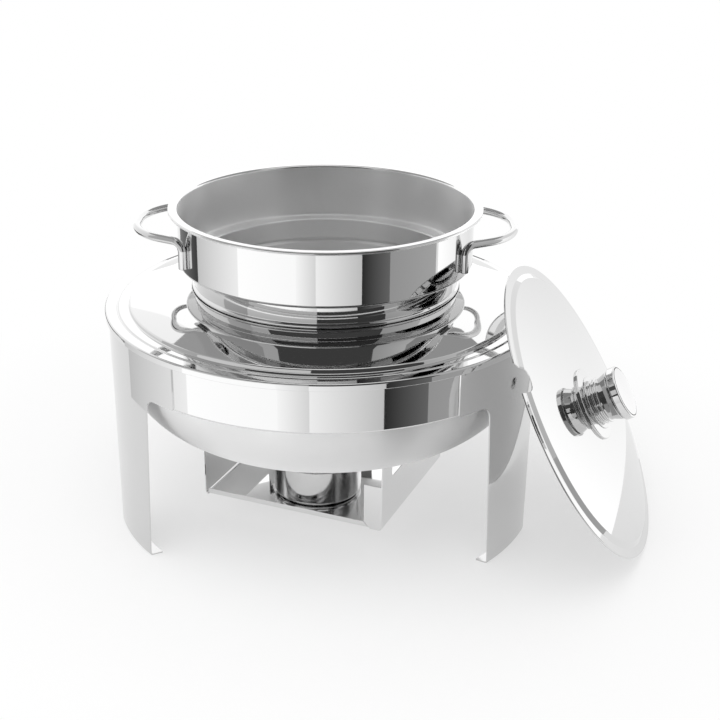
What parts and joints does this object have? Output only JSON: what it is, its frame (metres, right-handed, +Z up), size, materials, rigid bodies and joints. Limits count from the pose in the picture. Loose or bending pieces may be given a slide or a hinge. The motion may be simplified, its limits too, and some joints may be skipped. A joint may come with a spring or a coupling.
{
  "type": "chafing dish",
  "caption": "Round steel chafing dish: legged stand with water pan and sliding burner, cover plate, handled food pan, and a notched lid with a turned knob leaning on the rim.",
  "frame": {"origin": "on the stand's upright axis, level with the undersides of the feet", "axes": "+Z up, -Y towards the front, +X towards the side on which the lid leans"},
  "size_m": [0.5341, 0.4286, 0.3064],
  "materials": {
    "mirror_steel": "mirror-polished stainless steel",
    "satin_steel": "satin stainless steel",
    "fastener_steel": "plain steel fastener"
  },
  "bodies": {
    "stand": {"support_band": "mirror_steel", "water_pan": "satin_steel", "left_leg": "mirror_steel", "right_leg": "mirror_steel", "rear_leg": "mirror_steel", "burner_tray": "mirror_steel", "tray_studs": "fastener_steel", "tray_washers": "fastener_steel", "tray_nuts": "fastener_steel"},
    "cover": {"cover_plate": "mirror_steel"},
    "pan": {"food_pan": "mirror_steel", "left_handle": "mirror_steel", "right_handle": "mirror_steel"},
    "lid": {"lid_shell": "mirror_steel", "knob_flange": "mirror_steel", "knob_neck": "mirror_steel", "knob_cap": "mirror_steel", "knob_washer": "fastener_steel", "knob_screw": "fastener_steel"},
    "burner": {"burner_cup": "mirror_steel", "burner_cover": "satin_steel", "damper_rivet": "fastener_steel"},
    "damper": {"damper_disc": "satin_steel"}
  },
  "joints": [
    {"name": "cover_lift", "type": "slide", "parent": "stand", "child": "cover", "axis": [0, 0, 1], "range_m": [0, 0.15]},
    {"name": "pan_lift", "type": "slide", "parent": "cover", "child": "pan", "axis": [0, 0, 1], "range_m": [0, 0.2]},
    {"name": "lid_away", "type": "slide", "parent": "cover", "child": "lid", "axis": [0.8273, -0.2529, 0.5015], "range_m": [0, 0.2]},
    {"name": "burner_slide", "type": "slide", "parent": "stand", "child": "burner", "axis": [0.4035, 0.915, 0], "range_m": [-0.0112, 0.19]},
    {"name": "damper_swing", "type": "hinge", "parent": "burner", "child": "damper", "pos_m": [0.00476, 0.00336, 0.059], "axis": [0, 0, 1], "range_deg": [0, 100]}
  ]
}
